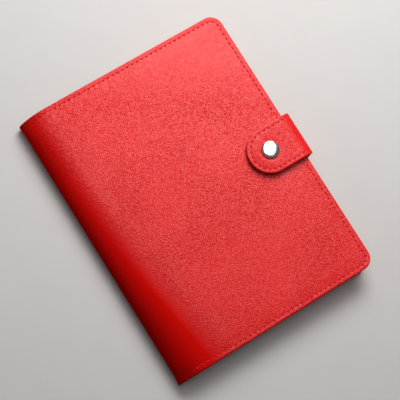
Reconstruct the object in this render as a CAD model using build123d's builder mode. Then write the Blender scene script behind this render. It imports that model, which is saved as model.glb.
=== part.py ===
from build123d import *
from math import atan2, degrees
import os

# Leather cover for an A5 hardback notebook, closed by a snap strap, with the notebook inside.
#
# Frame: millimetres, +X from the spine to the fore-edge, +Y from foot to head, +Z up.
# The book lies closed on its back cover. The origin is the middle of its box, on the table.
# The outer hide and the strap are each one piece of leather in real life. They are parted here
# at their creases, so that each length of leather belongs to the body that it moves with.

# Closed book
SPINE_X = -86.1
FORE_EDGE_X = 81.1
COVER_HEIGHT = 220.0
CLOSED_THICKNESS = 20.0
MIDDLE = CLOSED_THICKNESS / 2
FORE_CORNER_RADIUS = 9.5

# Layers of one cover, counted inwards from its outer face
LEATHER = 1.2
STIFFENER = 0.8
LINING = 0.6
BOARD_CLEARANCE = 0.2
NOTEBOOK_BOARD = 1.8
SLEEVE = 0.8
STIFFENER_DEPTH = LEATHER
LINING_DEPTH = STIFFENER_DEPTH + STIFFENER
SLEEVE_RIM_DEPTH = LINING_DEPTH + LINING
BOARD_DEPTH = SLEEVE_RIM_DEPTH + BOARD_CLEARANCE
SLEEVE_DEPTH = BOARD_DEPTH + NOTEBOOK_BOARD + BOARD_CLEARANCE
CARD_SLOT_DEPTH = SLEEVE_DEPTH + SLEEVE

# Rounded spine: half an ellipse, parted from each cover along a 45 degree line at the crease
SPINE_REACH = 14.0
BEND_X = SPINE_X + SPINE_REACH
CREASE_GAP = 0.1
LINING_REACH = 12.4
NOTEBOOK_SPINE_REACH = 10.8
NOTEBOOK_SPINE_RISE = 7.0
NOTEBOOK_SPINE_CARD = 1.0

# Stitched edge
STIFFENER_INSET = 6.0
LINING_RIM = 5.0
SLEEVE_RIM = 4.0
SLEEVE_WIDTH = 70.0
SEAM_INSET = 3.0
SEAM_START_X = BEND_X + 0.6
GROOVE_WIDTH = 1.1
GROOVE_DEPTH = 0.35
THREAD_WIDTH = 0.8
THREAD_HEIGHT = 0.3
STITCH_LENGTH = 3.0
STITCH_PITCH = 4.15

# Card slots on the front sleeve
CARD_SLOT = 0.6
CARD_SLOT_HEIGHT = 92.0
CARD_SLOT_SPINE_X = 28.0
CARD_SLOT_FORE_X = 77.0
CARD_SLOT_SPACING = 98.0

# Notebook: 210 mm high boards 148 mm wide, leaves a little smaller
BOARD_SPINE_X = -73.1
BOARD_WIDTH = 148.0
BOARD_HEIGHT = 210.0
BOARD_CORNER_RADIUS = 3.0
LEAF_SPINE_X = -72.6
LEAF_FORE_X = 72.5
LEAF_HEIGHT = 204.0
LEAF_CORNER_RADIUS = 5.0
PAGE_GAP = 0.2
SLEEVE_EDGE_X = FORE_EDGE_X - SLEEVE_WIDTH
PINCH_LENGTH = 8.0
PINCH_END_X = SLEEVE_EDGE_X - 1.0

# Strap, in two layers of leather
STRAP_WIDTH = 34.8
STRAP_OUTER_X = 86.1
STRAP_OUTER = 1.2
STRAP_INNER = 1.0
STRAP_THICKNESS = STRAP_OUTER + STRAP_INNER
STRAP_LIFT = 3.4
STRAP_TOP = CLOSED_THICKNESS + STRAP_LIFT + STRAP_THICKNESS
STRAP_BEND_RADIUS = 4.2
STRAP_BEND_X = STRAP_OUTER_X - STRAP_BEND_RADIUS
STRAP_ROOT = LEATHER
TAIL_START_X = 62.0
TAIL_THICKNESS = STIFFENER
TAIL_NOTCH_CLEARANCE = 0.3
SNAP_X = 58.2

# Snap, with heights counted up from the front cover's outer face
POST_RADIUS = 1.4
POST_HOLE_RADIUS = 1.7
RIVET_RADIUS = 4.5
RIVET_FLANGE = 0.7
RIVET_HOLE_RADIUS = 4.8
RIVET_POST_TOP = 1.6
STUD_BORE_RADIUS = 1.5
STUD_BORE_DEPTH = 1.7
STUD_FLANGE_RADIUS = 5.2
STUD_FLANGE = 0.7
STUD_NECK_RADIUS = 1.95
STUD_NECK_TOP = 1.9
STUD_BALL_RADIUS = 2.3
STUD_TOP_RADIUS = 1.6
STUD_TOP = 2.8
SOCKET_RADIUS = 5.2
SOCKET_BOTTOM = 0.9
SOCKET_MOUTH_RADIUS = 3.3
SOCKET_GROOVE_RADIUS = 4.0
SOCKET_GROOVE_BOTTOM = 1.15
SOCKET_GROOVE_TOP = 1.85
SOCKET_PLATE = 0.5
SPRING_WIRE = 0.5
SPRING_LENGTH = 7.2
SPRING_INNER_WIDTH = 4.2
CAP_RADIUS = 6.8
CAP_RIM = 0.5
CAP_HEIGHT = 2.4
CAP_FULLNESS = 0.7
CAP_POST_RADIUS = 1.6
CAP_POST_BORE = 1.0
CAP_POST_REACH = STRAP_THICKNESS + SOCKET_PLATE


def export_piece(piece, name):
    """Label one finished piece and write it as a STEP file of the same name."""
    piece.part.label = name
    export_step(piece.part, f"parts/{name}.step")


def section_plane(side):
    """Plane across the book, with local y counted inwards from one cover's outer face."""
    if side == "back":
        return Plane.XZ
    return Plane(origin=(0, 0, CLOSED_THICKNESS), x_dir=(1, 0, 0), z_dir=(0, 1, 0))


def depth_plane(side, depth):
    """Plane at a depth below one cover's outer face, facing the middle of the book."""
    if side == "back":
        return Plane.XY.offset(depth)
    return Plane(origin=(0, 0, CLOSED_THICKNESS - depth), x_dir=(1, 0, 0), z_dir=(0, 0, -1))


def rectangle_between(low_x, high_x, low_y, high_y, mode=Mode.ADD):
    """Rectangle in the open sketch, given by its sides."""
    with Locations(((low_x + high_x) / 2, (low_y + high_y) / 2)):
        Rectangle(high_x - low_x, high_y - low_y, mode=mode)


def polygon(*corners, mode=Mode.ADD):
    """Straight-sided face in the open sketch, given by its corners."""
    Polygon(*corners, align=None, mode=mode)


def bent_skin(outer_reach, outer_rise, thickness):
    """Half-ellipse skin round the spine, in the open section sketch."""
    with Locations((BEND_X, MIDDLE)):
        Ellipse(outer_reach, outer_rise)
        Ellipse(outer_reach - thickness, outer_rise - thickness, mode=Mode.SUBTRACT)


def keep_cover_side():
    """Cut the bent skin back to the part that stays with one cover."""
    corner_x = SPINE_X + CREASE_GAP
    polygon(
        (corner_x, 0),
        (corner_x + MIDDLE, MIDDLE),
        (BEND_X, MIDDLE),
        (BEND_X, 0),
        mode=Mode.INTERSECT,
    )


def keep_spine_side():
    """Cut the bent skin back to the part between the two creases."""
    corner_x = SPINE_X - CREASE_GAP
    polygon(
        (corner_x, 0),
        (corner_x + MIDDLE, MIDDLE),
        (corner_x, CLOSED_THICKNESS),
        mode=Mode.INTERSECT,
    )


def round_fore_corners(piece, radius):
    """Round the two upright edges of a piece that lie furthest from the spine."""
    fillet(piece.edges().filter_by(Axis.Z).group_by(Axis.X)[-1], radius)


def edge_seam():
    """Line of the stitches along the head, the fore-edge and the foot of a cover."""
    seam_x = FORE_EDGE_X - SEAM_INSET
    seam_y = COVER_HEIGHT / 2 - SEAM_INSET
    with BuildLine() as seam:
        FilletPolyline(
            (SEAM_START_X, seam_y),
            (seam_x, seam_y),
            (seam_x, -seam_y),
            (SEAM_START_X, -seam_y),
            radius=FORE_CORNER_RADIUS - SEAM_INSET,
        )
    return seam.wire()


def strap_seam():
    """Line of the stitches along the strap's tab and round its end."""
    seam_y = STRAP_WIDTH / 2 - SEAM_INSET
    with BuildLine() as seam:
        Line((STRAP_BEND_X, seam_y), (SNAP_X, seam_y))
        RadiusArc((SNAP_X, seam_y), (SNAP_X, -seam_y), -seam_y)
        Line((SNAP_X, -seam_y), (STRAP_BEND_X, -seam_y))
    return seam.wire()


def stitches(seam):
    """One short rectangle for each stitch, evenly spaced along a seam in the open sketch."""
    count = round(seam.length / STITCH_PITCH)
    for index in range(count):
        place = (index + 0.5) / count
        along = seam % place
        turn = degrees(atan2(along.Y, along.X))
        with Locations(Location(seam @ place, (0, 0, turn))):
            Rectangle(STITCH_LENGTH, THREAD_WIDTH)


def strap_tab(half_width):
    """Outline of the strap's tab, with its round end about the snap, in the open sketch."""
    rectangle_between(SNAP_X, STRAP_BEND_X, -half_width, half_width)
    with Locations((SNAP_X, 0)):
        Circle(half_width)


def strap_bend_ring(centre_z, outer_radius, inner_radius):
    """Ring of the strap's section at one of its two bends, in the open sketch."""
    with Locations((STRAP_BEND_X, centre_z)):
        Circle(outer_radius)
        Circle(inner_radius, mode=Mode.SUBTRACT)


def make_leather(side):
    """Outer hide of one cover, with a stitching groove and the start of the spine's curve."""
    with BuildPart() as leather:
        with BuildSketch(section_plane(side)):
            bent_skin(SPINE_REACH, MIDDLE, LEATHER)
            keep_cover_side()
            rectangle_between(BEND_X, FORE_EDGE_X, 0, LEATHER)
        extrude(amount=COVER_HEIGHT / 2, both=True)
        round_fore_corners(leather, FORE_CORNER_RADIUS)
        with BuildSketch(depth_plane(side, 0)):
            trace(edge_seam(), line_width=GROOVE_WIDTH)
        extrude(amount=GROOVE_DEPTH, mode=Mode.SUBTRACT)
        if side == "front":
            with BuildSketch(depth_plane(side, 0)):
                with Locations((SNAP_X, 0)):
                    Circle(POST_HOLE_RADIUS)
            extrude(amount=LEATHER, mode=Mode.SUBTRACT)
    export_piece(leather, f"{side}_leather")


def make_stitching(side):
    """Thread of one cover's edge seam, one solid for each stitch, lying in the groove."""
    with BuildPart() as stitching:
        with BuildSketch(depth_plane(side, GROOVE_DEPTH - THREAD_HEIGHT)):
            stitches(edge_seam())
        extrude(amount=THREAD_HEIGHT)
    export_piece(stitching, f"{side}_stitching")


def make_stiffener(side):
    """Board between the hide and the lining of one cover."""
    stiffener_fore_x = FORE_EDGE_X - STIFFENER_INSET
    half_height = COVER_HEIGHT / 2 - STIFFENER_INSET
    notch_half = STRAP_WIDTH / 2 + TAIL_NOTCH_CLEARANCE
    with BuildPart() as stiffener:
        with BuildSketch(depth_plane(side, STIFFENER_DEPTH)):
            rectangle_between(BEND_X, stiffener_fore_x, -half_height, half_height)
            if side == "back":
                notch_x = TAIL_START_X - TAIL_NOTCH_CLEARANCE
                rectangle_between(notch_x, stiffener_fore_x, -notch_half, notch_half, Mode.SUBTRACT)
            else:
                with Locations((SNAP_X, 0)):
                    Circle(RIVET_HOLE_RADIUS, mode=Mode.SUBTRACT)
        extrude(amount=STIFFENER)
    export_piece(stiffener, f"{side}_stiffener")


def make_lining(side):
    """Inner skin of one cover, turned down to the hide round the stiffener."""
    half_height = COVER_HEIGHT / 2
    inner_half = half_height - LINING_RIM
    notch_half = STRAP_WIDTH / 2 + TAIL_NOTCH_CLEARANCE
    inner_fore_x = FORE_EDGE_X - LINING_RIM
    with BuildPart() as lining:
        with BuildSketch(section_plane(side)):
            bent_skin(LINING_REACH, MIDDLE - LINING_DEPTH, LINING)
            keep_cover_side()
            rectangle_between(BEND_X, FORE_EDGE_X, LINING_DEPTH, LINING_DEPTH + LINING)
        extrude(amount=half_height, both=True)
        with BuildSketch(depth_plane(side, STIFFENER_DEPTH)):
            rectangle_between(BEND_X, FORE_EDGE_X, -half_height, half_height)
            rectangle_between(BEND_X, inner_fore_x, -inner_half, inner_half, Mode.SUBTRACT)
        extrude(amount=STIFFENER)
        round_fore_corners(lining, FORE_CORNER_RADIUS)
        if side == "back":
            with BuildSketch(depth_plane(side, STIFFENER_DEPTH)):
                rectangle_between(inner_fore_x, FORE_EDGE_X, -notch_half, notch_half)
            extrude(amount=STIFFENER, mode=Mode.SUBTRACT)
    export_piece(lining, f"{side}_lining")


def make_sleeve(side):
    """Leather pocket for one board of the notebook, closed on three sides."""
    half_height = COVER_HEIGHT / 2
    inner_half = half_height - SLEEVE_RIM
    rim_height = SLEEVE_DEPTH - SLEEVE_RIM_DEPTH
    with BuildPart() as sleeve:
        with BuildSketch(depth_plane(side, SLEEVE_RIM_DEPTH)):
            rectangle_between(SLEEVE_EDGE_X, FORE_EDGE_X, -half_height, half_height)
        extrude(amount=rim_height + SLEEVE)
        round_fore_corners(sleeve, FORE_CORNER_RADIUS)
        with BuildSketch(depth_plane(side, SLEEVE_RIM_DEPTH)):
            pocket_fore_x = FORE_EDGE_X - SLEEVE_RIM
            rectangle_between(SLEEVE_EDGE_X, pocket_fore_x, -inner_half, inner_half)
        extrude(amount=rim_height, mode=Mode.SUBTRACT)
    export_piece(sleeve, f"{side}_sleeve")


def make_card_slots():
    """Two flat pockets on the front sleeve, one towards the head and one towards the foot."""
    for name, middle_y in (("head", CARD_SLOT_SPACING / 2), ("foot", -CARD_SLOT_SPACING / 2)):
        low_y = middle_y - CARD_SLOT_HEIGHT / 2
        high_y = middle_y + CARD_SLOT_HEIGHT / 2
        with BuildPart() as card_slot:
            with BuildSketch(Plane.XY.offset(CLOSED_THICKNESS - CARD_SLOT_DEPTH)):
                rectangle_between(CARD_SLOT_SPINE_X, CARD_SLOT_FORE_X, low_y, high_y)
            extrude(amount=-CARD_SLOT)
        export_piece(card_slot, f"card_slot_{name}")


def make_notebook_board(side):
    """Hard board of the notebook, held in one sleeve."""
    half_height = BOARD_HEIGHT / 2
    with BuildPart() as board:
        with BuildSketch(depth_plane(side, BOARD_DEPTH)):
            rectangle_between(BOARD_SPINE_X, BOARD_SPINE_X + BOARD_WIDTH, -half_height, half_height)
        extrude(amount=NOTEBOOK_BOARD)
        round_fore_corners(board, BOARD_CORNER_RADIUS)
    export_piece(board, f"notebook_{side}_board")


def make_spine_skin(name, reach, rise, thickness, height):
    """Length of curved skin between the two creases."""
    with BuildPart() as skin:
        with BuildSketch(Plane.XZ):
            bent_skin(reach, rise, thickness)
            keep_spine_side()
        extrude(amount=height / 2, both=True)
    export_piece(skin, name)


def make_notebook_spine():
    """Curved card back of the notebook's case, between its two boards."""
    half_opening = MIDDLE - BOARD_DEPTH - NOTEBOOK_BOARD - BOARD_CLEARANCE
    with BuildPart() as spine_card:
        with BuildSketch(Plane.XZ):
            bent_skin(NOTEBOOK_SPINE_REACH, NOTEBOOK_SPINE_RISE, NOTEBOOK_SPINE_CARD)
            polygon(
                (SPINE_X, MIDDLE - half_opening),
                (BEND_X - NOTEBOOK_SPINE_CARD, MIDDLE - half_opening),
                (BEND_X - NOTEBOOK_SPINE_CARD, MIDDLE + half_opening),
                (SPINE_X, MIDDLE + half_opening),
                mode=Mode.INTERSECT,
            )
        extrude(amount=BOARD_HEIGHT / 2, both=True)
    export_piece(spine_card, "notebook_spine")


def make_page_block():
    """Leaves of the notebook, pressed together where the sleeves and card slots lie on them."""
    full_low = BOARD_DEPTH + NOTEBOOK_BOARD + PAGE_GAP
    full_high = CLOSED_THICKNESS - full_low
    pinched_low = SLEEVE_DEPTH + SLEEVE + PAGE_GAP
    pinched_high = CLOSED_THICKNESS - CARD_SLOT_DEPTH - CARD_SLOT - PAGE_GAP
    pinch_start_x = PINCH_END_X - PINCH_LENGTH
    with BuildPart() as page_block:
        with BuildSketch(Plane.XZ):
            polygon(
                (LEAF_SPINE_X, full_low),
                (pinch_start_x, full_low),
                (PINCH_END_X, pinched_low),
                (LEAF_FORE_X, pinched_low),
                (LEAF_FORE_X, pinched_high),
                (PINCH_END_X, pinched_high),
                (pinch_start_x, full_high),
                (LEAF_SPINE_X, full_high),
            )
        extrude(amount=LEAF_HEIGHT / 2, both=True)
        round_fore_corners(page_block, LEAF_CORNER_RADIUS)
    export_piece(page_block, "page_block")


def make_strap_anchor():
    """Strap's skived tail, sewn between the back hide and lining, and its turn upwards."""
    outer_radius = STRAP_BEND_RADIUS
    inner_radius = STRAP_BEND_RADIUS - STRAP_THICKNESS
    bend_z = STRAP_ROOT + STRAP_BEND_RADIUS
    corner_x = STRAP_OUTER_X - CREASE_GAP
    step_x = FORE_EDGE_X + TAIL_NOTCH_CLEARANCE
    with BuildPart() as anchor:
        with BuildSketch(Plane.XZ):
            strap_bend_ring(bend_z, outer_radius, inner_radius)
            polygon(
                (STRAP_BEND_X, STRAP_ROOT),
                (corner_x, STRAP_ROOT),
                (corner_x - STRAP_BEND_RADIUS, bend_z),
                (STRAP_BEND_X, bend_z),
                mode=Mode.INTERSECT,
            )
            polygon(
                (TAIL_START_X, STRAP_ROOT),
                (STRAP_BEND_X, STRAP_ROOT),
                (STRAP_BEND_X, STRAP_ROOT + STRAP_THICKNESS),
                (step_x, STRAP_ROOT + TAIL_THICKNESS),
                (TAIL_START_X, STRAP_ROOT + TAIL_THICKNESS),
            )
        extrude(amount=STRAP_WIDTH / 2, both=True)
    export_piece(anchor, "strap_anchor")


def make_strap_wall(name, outer_inset, thickness):
    """One layer of the strap where it stands along the fore-edge, with half of each bend."""
    outer_radius = STRAP_BEND_RADIUS - outer_inset
    inner_radius = outer_radius - thickness
    low_bend_z = STRAP_ROOT + STRAP_BEND_RADIUS
    high_bend_z = STRAP_TOP - STRAP_BEND_RADIUS
    corner_x = STRAP_OUTER_X + CREASE_GAP
    with BuildPart() as wall:
        with BuildSketch(Plane.XZ):
            strap_bend_ring(low_bend_z, outer_radius, inner_radius)
            strap_bend_ring(high_bend_z, outer_radius, inner_radius)
            polygon(
                (corner_x, STRAP_ROOT),
                (corner_x, STRAP_TOP),
                (corner_x - STRAP_BEND_RADIUS, high_bend_z),
                (corner_x - STRAP_BEND_RADIUS, low_bend_z),
                mode=Mode.INTERSECT,
            )
            rectangle_between(0, corner_x, low_bend_z, high_bend_z, Mode.SUBTRACT)
            outer_x = STRAP_BEND_X + outer_radius
            rectangle_between(outer_x - thickness, outer_x, low_bend_z, high_bend_z)
        extrude(amount=STRAP_WIDTH / 2, both=True)
    export_piece(wall, name)


def make_strap_flap(name, outer_inset, thickness):
    """One layer of the strap's tab, with half of the upper bend and the snap's hole."""
    outer_radius = STRAP_BEND_RADIUS - outer_inset
    bend_z = STRAP_TOP - STRAP_BEND_RADIUS
    corner_x = STRAP_OUTER_X - CREASE_GAP
    top_z = STRAP_TOP - outer_inset
    is_outer = outer_inset == 0
    with BuildPart() as flap:
        with BuildSketch(Plane.XZ):
            strap_bend_ring(bend_z, outer_radius, outer_radius - thickness)
            polygon(
                (corner_x, STRAP_TOP),
                (corner_x - STRAP_BEND_RADIUS, bend_z),
                (STRAP_BEND_X, bend_z),
                (STRAP_BEND_X, STRAP_TOP),
                mode=Mode.INTERSECT,
            )
        extrude(amount=STRAP_WIDTH / 2, both=True)
        with BuildSketch(Plane.XY.offset(top_z)):
            strap_tab(STRAP_WIDTH / 2)
        extrude(amount=-thickness)
        with BuildSketch(Plane.XY.offset(top_z)):
            with Locations((SNAP_X, 0)):
                Circle(POST_HOLE_RADIUS)
        extrude(amount=-thickness, mode=Mode.SUBTRACT)
        if is_outer:
            with BuildSketch(Plane.XY.offset(top_z)):
                trace(strap_seam(), line_width=GROOVE_WIDTH)
            extrude(amount=-GROOVE_DEPTH, mode=Mode.SUBTRACT)
    export_piece(flap, name)


def make_strap_stitching():
    """Thread that holds the strap's two layers together, one solid for each stitch."""
    with BuildPart() as stitching:
        with BuildSketch(Plane.XY.offset(STRAP_TOP - GROOVE_DEPTH)):
            stitches(strap_seam())
        extrude(amount=THREAD_HEIGHT)
    export_piece(stitching, "strap_stitching")


def snap_plane(height):
    """Level plane centred on the snap, at a height above the front cover's outer face."""
    return Plane(origin=(SNAP_X, 0, CLOSED_THICKNESS + height))


def snap_section():
    """Upright plane through the snap's axis, with local y up from the front cover."""
    return Plane(origin=(SNAP_X, 0, CLOSED_THICKNESS), x_dir=(1, 0, 0), z_dir=(0, -1, 0))


def snap_axis():
    """Upright axis of the snap."""
    return Axis((SNAP_X, 0, 0), (0, 0, 1))


def make_stud_rivet():
    """Flanged post that comes up through the front hide and holds the stud."""
    with BuildPart() as rivet:
        with BuildSketch(snap_plane(-LEATHER)):
            Circle(RIVET_RADIUS)
        extrude(amount=-RIVET_FLANGE)
        with BuildSketch(snap_plane(-LEATHER)):
            Circle(POST_RADIUS)
        extrude(amount=LEATHER + RIVET_POST_TOP)
    export_piece(rivet, "stud_rivet")


def make_snap_stud():
    """Male half of the snap: a flange, a neck and a rounded head."""
    head_middle = (STUD_NECK_TOP + STUD_TOP) / 2
    with BuildPart() as stud:
        with BuildSketch(snap_section()):
            with BuildLine():
                Polyline(
                    (STUD_BORE_RADIUS, STUD_BORE_DEPTH),
                    (STUD_BORE_RADIUS, 0),
                    (STUD_FLANGE_RADIUS, 0),
                    (STUD_FLANGE_RADIUS, STUD_FLANGE / 2),
                    (STUD_NECK_RADIUS, STUD_FLANGE),
                    (STUD_NECK_RADIUS, STUD_NECK_TOP),
                )
                Spline(
                    (STUD_NECK_RADIUS, STUD_NECK_TOP),
                    (STUD_BALL_RADIUS, head_middle),
                    (STUD_TOP_RADIUS, STUD_TOP),
                )
                Line((STUD_TOP_RADIUS, STUD_TOP), (0, STUD_TOP))
                Line((0, STUD_TOP), (0, STUD_BORE_DEPTH))
                Line((0, STUD_BORE_DEPTH), (STUD_BORE_RADIUS, STUD_BORE_DEPTH))
            make_face()
        revolve(axis=snap_axis())
    export_piece(stud, "snap_stud")


def make_snap_socket():
    """Female half of the snap, open downwards, with a groove for its spring."""
    plate_bottom = STRAP_LIFT - SOCKET_PLATE
    with BuildPart() as socket:
        with BuildSketch(snap_plane(SOCKET_BOTTOM)):
            Circle(SOCKET_RADIUS)
        extrude(amount=STRAP_LIFT - SOCKET_BOTTOM)
        with BuildSketch(snap_plane(SOCKET_BOTTOM)):
            Circle(SOCKET_MOUTH_RADIUS)
        extrude(amount=plate_bottom - SOCKET_BOTTOM, mode=Mode.SUBTRACT)
        with BuildSketch(snap_plane(SOCKET_GROOVE_BOTTOM)):
            Circle(SOCKET_GROOVE_RADIUS)
        extrude(amount=SOCKET_GROOVE_TOP - SOCKET_GROOVE_BOTTOM, mode=Mode.SUBTRACT)
        with BuildSketch(snap_plane(plate_bottom)):
            Circle(POST_HOLE_RADIUS)
        extrude(amount=SOCKET_PLATE, mode=Mode.SUBTRACT)
    export_piece(socket, "snap_socket")


def make_snap_spring():
    """Wire loop in the socket's groove, with a straight run on each side of the stud's neck."""
    outer_width = SPRING_INNER_WIDTH + 2 * SPRING_WIRE
    wire_bottom = (SOCKET_GROOVE_BOTTOM + SOCKET_GROOVE_TOP - SPRING_WIRE) / 2
    outer_corner = outer_width / 4
    with BuildPart() as spring:
        with BuildSketch(snap_plane(wire_bottom)):
            RectangleRounded(SPRING_LENGTH, outer_width, outer_corner)
            RectangleRounded(
                SPRING_LENGTH - 2 * SPRING_WIRE,
                SPRING_INNER_WIDTH,
                outer_corner - SPRING_WIRE,
                mode=Mode.SUBTRACT,
            )
        extrude(amount=SPRING_WIRE)
    export_piece(spring, "snap_spring")


def make_snap_cap():
    """Domed cap on the strap, with a hollow post down through both layers into the socket."""
    cap_base = STRAP_LIFT + STRAP_THICKNESS
    post_bottom = cap_base - CAP_POST_REACH
    dome_rise = CAP_HEIGHT - CAP_RIM
    with BuildPart() as cap:
        with BuildSketch(snap_section()):
            with BuildLine():
                Polyline(
                    (0, cap_base),
                    (CAP_RADIUS - CAP_RIM / 2, cap_base),
                    (CAP_RADIUS, cap_base + CAP_RIM / 2),
                    (CAP_RADIUS, cap_base + CAP_RIM),
                )
                Bezier(
                    (CAP_RADIUS, cap_base + CAP_RIM),
                    (CAP_RADIUS, cap_base + CAP_RIM + CAP_FULLNESS * dome_rise),
                    (CAP_FULLNESS * CAP_RADIUS, cap_base + CAP_HEIGHT),
                    (0, cap_base + CAP_HEIGHT),
                )
                Line((0, cap_base + CAP_HEIGHT), (0, cap_base))
            make_face()
        revolve(axis=snap_axis())
        with BuildSketch(snap_plane(post_bottom)):
            Circle(CAP_POST_RADIUS)
            Circle(CAP_POST_BORE, mode=Mode.SUBTRACT)
        extrude(amount=CAP_POST_REACH)
    export_piece(cap, "snap_cap")


os.makedirs("parts", exist_ok=True)

for cover_side in ("back", "front"):
    make_leather(cover_side)
    make_stitching(cover_side)
    make_stiffener(cover_side)
    make_lining(cover_side)
    make_sleeve(cover_side)
    make_notebook_board(cover_side)

make_spine_skin("spine_leather", SPINE_REACH, MIDDLE, LEATHER, COVER_HEIGHT)
make_spine_skin("spine_lining", LINING_REACH, MIDDLE - LINING_DEPTH, LINING, COVER_HEIGHT)
make_notebook_spine()
make_page_block()
make_card_slots()

make_strap_anchor()
make_strap_wall("strap_wall_leather", 0, STRAP_OUTER)
make_strap_wall("strap_wall_lining", STRAP_OUTER, STRAP_INNER)
make_strap_flap("strap_flap_leather", 0, STRAP_OUTER)
make_strap_flap("strap_flap_lining", STRAP_OUTER, STRAP_INNER)
make_strap_stitching()

make_stud_rivet()
make_snap_stud()
make_snap_socket()
make_snap_spring()
make_snap_cap()
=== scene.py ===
import math

import bpy
import numpy as np
from mathutils import Matrix, Vector, kdtree, noise


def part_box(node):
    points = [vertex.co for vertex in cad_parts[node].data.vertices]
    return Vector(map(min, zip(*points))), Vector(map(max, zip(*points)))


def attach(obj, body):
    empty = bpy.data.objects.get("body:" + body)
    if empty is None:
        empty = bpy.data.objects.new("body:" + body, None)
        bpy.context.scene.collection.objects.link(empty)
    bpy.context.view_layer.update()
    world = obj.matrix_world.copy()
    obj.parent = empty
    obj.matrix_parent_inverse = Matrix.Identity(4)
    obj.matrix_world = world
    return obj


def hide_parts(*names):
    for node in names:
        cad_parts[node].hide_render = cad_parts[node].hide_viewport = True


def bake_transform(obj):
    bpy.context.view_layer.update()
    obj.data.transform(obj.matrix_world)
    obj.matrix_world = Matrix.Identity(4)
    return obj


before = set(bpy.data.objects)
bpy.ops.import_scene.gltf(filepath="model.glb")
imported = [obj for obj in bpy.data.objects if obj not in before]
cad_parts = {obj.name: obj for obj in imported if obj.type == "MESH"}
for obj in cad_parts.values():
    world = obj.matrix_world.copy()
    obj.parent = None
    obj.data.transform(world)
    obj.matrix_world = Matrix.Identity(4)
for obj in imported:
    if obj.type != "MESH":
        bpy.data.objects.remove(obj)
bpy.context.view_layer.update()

# Everything is in metres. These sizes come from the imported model's nodes.
MM = 0.001
SPINE_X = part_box("spine_leather")[0].x
FORE_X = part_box("front_leather")[1].x
HALF_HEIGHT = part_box("back_leather")[1].y
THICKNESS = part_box("front_leather")[1].z
MIDDLE = THICKNESS / 2
BEND_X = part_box("back_stiffener")[0].x
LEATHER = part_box("back_stiffener")[0].z
LINING_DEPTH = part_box("back_stiffener")[1].z
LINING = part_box("back_sleeve")[0].z - LINING_DEPTH
SLEEVE_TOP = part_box("back_sleeve")[1].z
SLEEVE_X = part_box("back_sleeve")[0].x
BOARD_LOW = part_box("notebook_back_board")[0]
LEAF_LOW, LEAF_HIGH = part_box("page_block")
STRAP_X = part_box("strap_wall_leather")[1].x
STRAP_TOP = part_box("strap_flap_leather")[1].z
STRAP_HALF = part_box("strap_flap_leather")[1].y
STRAP_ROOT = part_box("strap_anchor")[0].z
TAIL_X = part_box("strap_anchor")[0].x
SNAP_X = (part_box("snap_cap")[0].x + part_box("snap_cap")[1].x) / 2
CAP_RADIUS = (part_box("snap_cap")[1].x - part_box("snap_cap")[0].x) / 2
CAP_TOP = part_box("snap_cap")[1].z

# Sizes that only the looks need
FORE_CORNER = 9.5 * MM
SLEEVE = 0.8 * MM
SEAM_INSET = 3.4 * MM
STITCH_PITCH = 4.15 * MM
STITCH_LENGTH = 2.5 * MM
THREAD_RADIUS = 0.48 * MM
HOLE_LENGTH = 1.10 * MM
HOLE_WIDTH = 0.68 * MM

# The strap's bends: round at its root, and a longer, softer one at its top
STRAP_BEND = 4.2 * MM
STRAP_SOFT = 9.5 * MM
STRAP_FALL = 5.5 * MM
STRAP_OUTER = 1.2 * MM
STRAP_INNER = 1.0 * MM
STRAP_SEAM_INSET = 3.0 * MM
STRAP_GAP = 0.02 * MM

# The soft spine comes to a low tip, and the front bends down to it from further in
TIP_X = SPINE_X - 1.0 * MM
TIP_Z = 6.0 * MM
SOFT_BEND = 6.0 * MM


# ---------------------------------------------------------------- meshes


def smoothstep(low, high, value):
    """0 below low, 1 above high, and smooth between."""
    t = np.clip((value - low) / (high - low), 0, 1)
    return t * t * (3 - 2 * t)


def new_object(name, verts, faces, material, sharp_degrees=50):
    """A mesh object, smooth except across edges that turn by more than sharp_degrees."""
    mesh = bpy.data.meshes.new(name)
    mesh.from_pydata([tuple(v) for v in verts], [], faces)
    mesh.polygons.foreach_set("use_smooth", [True] * len(mesh.polygons))
    mesh.update()
    mesh.set_sharp_from_angle(angle=math.radians(sharp_degrees))
    mesh.materials.append(material)
    obj = bpy.data.objects.new(name, mesh)
    bpy.context.scene.collection.objects.link(obj)
    return obj


def set_place(obj, places):
    """Gives each vertex its place on the uncut leather, in metres, which the grain follows.

    The third number is a different one for each sheet, so that no two have the same grain.
    """
    attribute = obj.data.attributes.new("leather_place", "FLOAT_VECTOR", "POINT")
    attribute.data.foreach_set("vector", np.asarray(places, np.float32).ravel())


def grid_faces(rows, columns, offset=0, flip=False):
    """Quads of a grid whose vertices run row by row."""
    faces = []
    for i in range(rows - 1):
        for j in range(columns - 1):
            a = offset + i * columns + j
            quad = (a, a + 1, a + columns + 1, a + columns)
            faces.append(quad[::-1] if flip else quad)
    return faces


def shell(name, outer, inner, material, places, flip=False):
    """Closed sheet between two grids of points, with a rim of its own that joins their edges."""
    rows, columns = outer.shape[:2]
    count = rows * columns
    faces = grid_faces(rows, columns, 0, not flip) + grid_faces(rows, columns, count, flip)
    rim = (
        [(0, j) for j in range(columns)]
        + [(i, columns - 1) for i in range(1, rows)]
        + [(rows - 1, j) for j in range(columns - 2, -1, -1)]
        + [(i, 0) for i in range(rows - 2, 0, -1)]
    )
    for (i, j), (k, m) in zip(rim, rim[1:] + rim[:1]):
        a, b = i * columns + j, k * columns + m
        quad = (a, b, b + count, a + count)
        faces.append(quad[::-1] if flip else quad)
    verts = np.concatenate([outer.reshape(-1, 3), inner.reshape(-1, 3)])
    obj = new_object(name, verts, faces, material)
    flat_places = places.reshape(-1, 3)
    set_place(obj, np.concatenate([flat_places, flat_places]))
    return obj


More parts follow.
